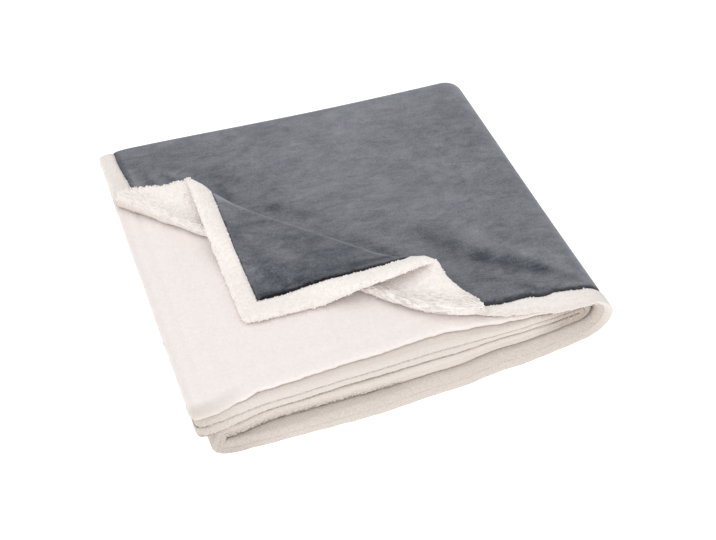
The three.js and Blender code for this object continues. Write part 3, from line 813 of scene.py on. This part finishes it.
def plush_material():
    """Short grey pile: brushed streaks, fine nap, painted shade in the hollow beside the seams, and a soft sheen at
    grazing angles.
    """
    material, tree, shader = new_material(
        "grey_plush", Roughness=0.85, Sheen_Weight=0.29, Sheen_Roughness=0.45, Specular_IOR_Level=0.15)
    shader.inputs["Sheen Tint"].default_value = (0.88, 0.92, 1.0, 1)
    place_on = node(tree, "ShaderNodeTexCoord").outputs["Object"]
    along = node(tree, "ShaderNodeMapping", {"Vector": place_on, "Rotation": (0, 0, math.radians(24)),
                                             "Scale": (1.0, 2.6, 1.0)}).outputs["Vector"]
    patches = noise(tree, place_on, 11, 4, 0.55, 0.8)
    streaks = noise(tree, along, 38, 5, 0.62, 0.6)
    nap = noise(tree, place_on, 420, 2, 0.7)
    mottle = noise(tree, place_on, 95, 3, 0.6, 0.5)
    shade = math_of(tree, "ADD", ranged(tree, patches, 0.30, 0.70, 0.66, 0.98),
                    ranged(tree, streaks, 0.30, 0.70, -0.20, 0.20))
    shade = math_of(tree, "ADD", shade, ranged(tree, mottle, 0.30, 0.70, -0.08, 0.08))
    shade = math_of(tree, "ADD", shade, attribute(tree, "tone"))
    shade = math_of(tree, "ADD", shade, ranged(tree, nap, 0.30, 0.70, -0.19, 0.19))
    # A painted highlight along the second fold's crest.
    shade = math_of(tree, "ADD", shade, math_of(tree, "MULTIPLY", attribute(tree, "ridge"),
                                                 ranged(tree, patches, 0.40, 0.60, 0.26, 0.52)))
    base = blend_colours(tree, ranged(tree, shade, 0.0, 1.6), GREY_LOW, GREY_HIGH)
    # Painted shade in the hollow beside the border's seam: narrow everywhere, and wide as far as the ditch attribute
    # says.
    wander = ranged(tree, noise(tree, place_on, 190, 2), 0.3, 0.7, -0.0016, 0.0016)
    ragged = math_of(tree, "ADD", attribute(tree, "from_edge"), wander)
    narrow = ranged(tree, ragged, BORDER + 0.0004, BORDER + 0.0026, 0.40, 1.0, "SMOOTHSTEP")
    wide = ranged(tree, ragged, BORDER + 0.0030, BORDER + 0.0086, 0.10, 1.0, "SMOOTHSTEP")
    front = attribute(tree, "ditch")
    seam = math_of(tree, "ADD", math_of(tree, "MULTIPLY", wide, front),
                   math_of(tree, "MULTIPLY", narrow, math_of(tree, "SUBTRACT", 1.0, front)))
    colour = node(tree, "ShaderNodeVectorMath", {0: base}, operation="SCALE")
    tree.links.new(seam, colour.inputs["Scale"])
    tree.links.new(colour.outputs["Vector"], shader.inputs["Base Color"])
    height = math_of(tree, "ADD", math_of(tree, "MULTIPLY", nap, 0.5), streaks)
    pile = node(tree, "ShaderNodeBump", {"Strength": 0.40, "Distance": 0.0012, "Height": height})
    tree.links.new(pile.outputs["Normal"], shader.inputs["Normal"])
    return material


# The sherpa's colours: each darker and lighter end, or the colour that its painted shade goes towards
WHITE_LOW = (0.868, 0.800, 0.776)
WHITE_HIGH = (0.906, 0.846, 0.824)
CREAM_LOW = (0.872, 0.810, 0.768)
CREAM_HIGH = (0.945, 0.893, 0.862)
SHADED_EDGE_WHITE = (0.725, 0.664, 0.616)
DEEP_SHADE_BROWN = (0.440, 0.370, 0.320)
SLIT_SHADE_BROWN = (0.090, 0.072, 0.062)
COMB_SHADE_BROWN = (0.620, 0.540, 0.480)


def sherpa_material(name, bump=0.5):
    """Warm white curled pile, with fine wrinkles where the corner is folded, and painted shade on the layers' edges,
    in the slits between them and in the wrinkles' grooves.
    """
    material, tree, shader = new_material(
        name, Roughness=0.95, Sheen_Weight=0.12, Sheen_Roughness=0.5, Specular_IOR_Level=0.1)
    place_on = node(tree, "ShaderNodeTexCoord").outputs["Object"]
    clumps = noise(tree, place_on, 230, 3, 0.6, 0.6)
    colour = blend_colours(tree, ranged(tree, clumps, 0.30, 0.64), WHITE_LOW, WHITE_HIGH)
    cream = blend_colours(tree, ranged(tree, clumps, 0.36, 0.62), CREAM_LOW, CREAM_HIGH)
    colour = blend_colours(tree, attribute(tree, "cream"), colour, cream)
    fluff = ranged(tree, noise(tree, place_on, 480, 2, 0.6), 0.32, 0.68, 0.84, 1.12)
    # Painted shade on the layers' edges, up to a deep brown where it is strongest.
    pressed = math_of(tree, "MULTIPLY", attribute(tree, "pressed"), fluff)
    colour = blend_colours(tree, pressed, colour, SHADED_EDGE_WHITE)
    colour = blend_colours(tree, ranged(tree, pressed, 1.0, 2.0), colour, DEEP_SHADE_BROWN)
    # Painted shade in the slits between layers, broken into specks.
    specks = ranged(tree, noise(tree, place_on, 360, 2, 0.7), 0.42, 0.56, 0.05, 1.0)
    slit = math_of(tree, "MULTIPLY", attribute(tree, "line"), specks)
    colour = blend_colours(tree, slit, colour, SLIT_SHADE_BROWN)
    flat = node(tree, "ShaderNodeUVMap", uv_map="flat").outputs["UV"]
    across_fold = node(tree, "ShaderNodeVectorMath", {0: flat, 1: (AWAY[0], -AWAY[1], 0)}, operation="DOT_PRODUCT")
    along_fold = node(tree, "ShaderNodeVectorMath", {0: flat, 1: (0.16 * AWAY[1], 0.16 * AWAY[0], 0)},
                      operation="DOT_PRODUCT")
    beside = node(tree, "ShaderNodeCombineXYZ", {"X": across_fold.outputs["Value"], "Y": along_fold.outputs["Value"]})
    ridges = ranged(tree, noise(tree, beside.outputs["Vector"], 760, 1.5, 0.5, 0.5), 0.48, 0.64)
    combed = math_of(tree, "MULTIPLY", ridges, attribute(tree, "comb"))
    depth = ranged(tree, attribute(tree, "cream"), 0.0, 1.0, 1.0, 1.8)
    height = math_of(tree, "SUBTRACT", math_of(tree, "MULTIPLY", clumps, depth), combed)
    # Painted shade in the grooves of the fine wrinkles beside the first fold.
    colour = blend_colours(tree, math_of(tree, "MULTIPLY", combed, 0.50), colour, COMB_SHADE_BROWN)
    tree.links.new(colour, shader.inputs["Base Color"])
    curls = node(tree, "ShaderNodeBump", {"Strength": bump, "Distance": 0.0016, "Height": height})
    tree.links.new(curls.outputs["Normal"], shader.inputs["Normal"])
    return material


plush.data.materials.append(plush_material())
sherpa.data.materials.append(sherpa_material("white_sherpa"))


def tuft_tree():
    """Sets small soft tufts of pile on a sheet, as densely as the named attribute says."""
    tree = bpy.data.node_groups.new("pile_tufts", "GeometryNodeTree")
    sockets = (("Geometry", "NodeSocketGeometry"), ("Where", "NodeSocketString"), ("Spacing", "NodeSocketFloat"),
               ("Tuft Radius", "NodeSocketFloat"), ("Stand", "NodeSocketFloat"), ("Seed", "NodeSocketInt"),
               ("Material", "NodeSocketMaterial"))
    for name, kind in sockets:
        tree.interface.new_socket(name, in_out="INPUT", socket_type=kind)
    tree.interface.new_socket("Geometry", in_out="OUTPUT", socket_type="NodeSocketGeometry")
    given = node(tree, "NodeGroupInput").outputs
    curly = node(tree, "GeometryNodeInputNamedAttribute", {"Name": given["Where"]}, data_type="FLOAT").outputs[0]
    some = node(tree, "FunctionNodeCompare", {0: curly, 1: 0.02}, data_type="FLOAT",
                operation="GREATER_THAN").outputs["Result"]
    used = node(tree, "GeometryNodeSeparateGeometry", {"Geometry": given["Geometry"], "Selection": some},
                domain="FACE").outputs["Selection"]
    spot = node(tree, "ShaderNodeMath", {0: given["Spacing"], 1: given["Spacing"]}, operation="MULTIPLY").outputs[0]
    density = node(tree, "ShaderNodeMath", {0: 2.5, 1: spot}, operation="DIVIDE").outputs[0]
    spread = node(tree, "GeometryNodeDistributePointsOnFaces",
                  {"Mesh": used, "Distance Min": given["Spacing"], "Density Max": density, "Density Factor": curly,
                   "Seed": given["Seed"]}, distribute_method="POISSON").outputs
    ball = node(tree, "GeometryNodeMeshUVSphere", {"Segments": 6, "Rings": 4, "Radius": given["Tuft Radius"]})
    flatter = node(tree, "ShaderNodeCombineXYZ", {"X": 1.25, "Y": 0.85, "Z": given["Stand"]})
    tuft = node(tree, "GeometryNodeTransform", {"Geometry": ball.outputs["Mesh"], "Scale": flatter.outputs["Vector"]})
    turn = node(tree, "FunctionNodeRandomValue", {0: (-0.5, -0.5, 0), 1: (0.5, 0.5, math.tau),
                                                  "Seed": given["Seed"]}, data_type="FLOAT_VECTOR").outputs[0]
    by = node(tree, "FunctionNodeEulerToRotation", {"Euler": turn}).outputs["Rotation"]
    facing = node(tree, "FunctionNodeRotateRotation", {"Rotation": spread["Rotation"], "Rotate By": by},
                  rotation_space="LOCAL").outputs["Rotation"]
    sizes = node(tree, "FunctionNodeRandomValue", {"Seed": given["Seed"]}, data_type="FLOAT")
    sizes.inputs[2].default_value, sizes.inputs[3].default_value = 0.55, 1.25
    tufts = node(tree, "GeometryNodeInstanceOnPoints",
                 {"Points": spread["Points"], "Instance": tuft.outputs["Geometry"], "Rotation": facing,
                  "Scale": sizes.outputs[1]}).outputs["Instances"]
    real = node(tree, "GeometryNodeRealizeInstances", {"Geometry": tufts}).outputs["Geometry"]
    soft = node(tree, "GeometryNodeSetShadeSmooth", {"Geometry": real}).outputs["Geometry"]
    done = node(tree, "GeometryNodeSetMaterial", {"Geometry": soft, "Material": given["Material"]})
    end = tree.nodes.new("NodeGroupOutput")
    tree.links.new(done.outputs["Geometry"], end.inputs[0])
    return tree


def tufts_on(sheet, name, material, **values):
    """The tufts of a sheet as a plain mesh of their own."""
    tree = tuft_tree()
    modifier = sheet.modifiers.new("tufts", "NODES")
    modifier.node_group = tree
    named = {item.name: item.identifier for item in tree.interface.items_tree if item.in_out == "INPUT"}
    for key, value in {**values, "Material": material}.items():
        modifier[named[key.replace("_", " ")]] = value
    made = bpy.data.meshes.new_from_object(sheet.evaluated_get(bpy.context.evaluated_depsgraph_get()))
    sheet.modifiers.remove(modifier)
    made.name = name
    made.materials.clear()
    made.materials.append(material)
    piece = bpy.data.objects.new(name, made)
    bpy.context.scene.collection.objects.link(piece)
    return piece


tuft_material = sherpa_material("sherpa_tufts", bump=0.2)
tufts = tufts_on(sherpa, "tufts", tuft_material,
                 Where="curly", Spacing=0.0030, Tuft_Radius=0.0013, Stand=0.75, Seed=7)
fringe = tufts_on(sherpa, "fringe", tuft_material,
                  Where="fringe", Spacing=0.0014, Tuft_Radius=0.0010, Stand=2.6, Seed=3)

for piece, solid, slot in ((plush, "plush_face", "plush"), (sherpa, "sherpa_back", "sherpa"),
                           (tufts, None, "sherpa"), (fringe, None, "sherpa")):
    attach(piece, "root")
    if solid:
        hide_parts(solid)


FLOOR_REACH = 20
FLOOR_LEVEL = -0.0004
STUDIO_LIGHT = 0.69
# Soft lamps: name, place, size, power
LAMPS = [
    ("over", (-0.7, 0.1, 2.2), 3.2, 20.5),
    ("front", (0.9, -2.2, 1.1), 2.4, 9.2),
    ("side", (-1.9, -1.5, 0.9), 2.2, 9),
]


def floor_and_light():
    floor_mesh = bpy.data.meshes.new("floor")
    corners = [(a * FLOOR_REACH, b * FLOOR_REACH, FLOOR_LEVEL) for a, b in ((-1, -1), (1, -1), (1, 1), (-1, 1))]
    floor_mesh.from_pydata(corners, [], [(0, 1, 2, 3)])
    floor = bpy.data.objects.new("floor", floor_mesh)
    bpy.context.scene.collection.objects.link(floor)
    floor_mesh.materials.append(new_material(
        "pale_floor", Base_Color=(0.95, 0.95, 0.95, 1), Roughness=1.0, Specular_IOR_Level=0.0,
        Emission_Color=(1, 1, 1, 1), Emission_Strength=0.42)[0])
    world = bpy.data.worlds.new("studio")
    world.use_nodes = True
    world.node_tree.nodes["Background"].inputs["Color"].default_value = (1, 1, 1, 1)
    world.node_tree.nodes["Background"].inputs["Strength"].default_value = STUDIO_LIGHT
    bpy.context.scene.world = world
    bpy.context.scene.view_settings.view_transform = "Standard"
    for name, at, size, power in LAMPS:
        light = bpy.data.lights.new(name, "AREA")
        light.size = size
        light.energy = power
        lamp = bpy.data.objects.new(name, light)
        lamp.location = at
        lamp.rotation_euler = (-Vector(at)).to_track_quat("-Z", "Y").to_euler()
        bpy.context.scene.collection.objects.link(lamp)


# The camera: elevation and azimuth in degrees, then the object's origin in the camera's own axes, in metres
FRAME_WIDTH = 716
FOCAL_PIXELS = 1200
ELEVATION, AZIMUTH = 44.3109, -19.2735
ORIGIN_SEEN = (-0.0187773, 0.0052538, 1.5300479)


def camera():
    e, a = math.radians(ELEVATION), math.radians(AZIMUTH)
    back = Vector((math.sin(a) * math.cos(e), -math.cos(a) * math.cos(e), math.sin(e)))
    right = (-back).cross(Vector((0, 0, 1))).normalized()
    up = right.cross(-back)
    data = bpy.data.cameras.new("camera")
    data.sensor_width = 36
    data.lens = FOCAL_PIXELS / FRAME_WIDTH * 36
    data.clip_end = 50
    eye = bpy.data.objects.new("camera", data)
    aside, above, away = ORIGIN_SEEN
    eye.matrix_world = Matrix((
        (right.x, up.x, back.x, -(right.x * aside + up.x * above - back.x * away)),
        (right.y, up.y, back.y, -(right.y * aside + up.y * above - back.y * away)),
        (right.z, up.z, back.z, -(right.z * aside + up.z * above - back.z * away)),
        (0, 0, 0, 1),
    ))
    bpy.context.scene.collection.objects.link(eye)
    bpy.context.scene.camera = eye


floor_and_light()
camera()
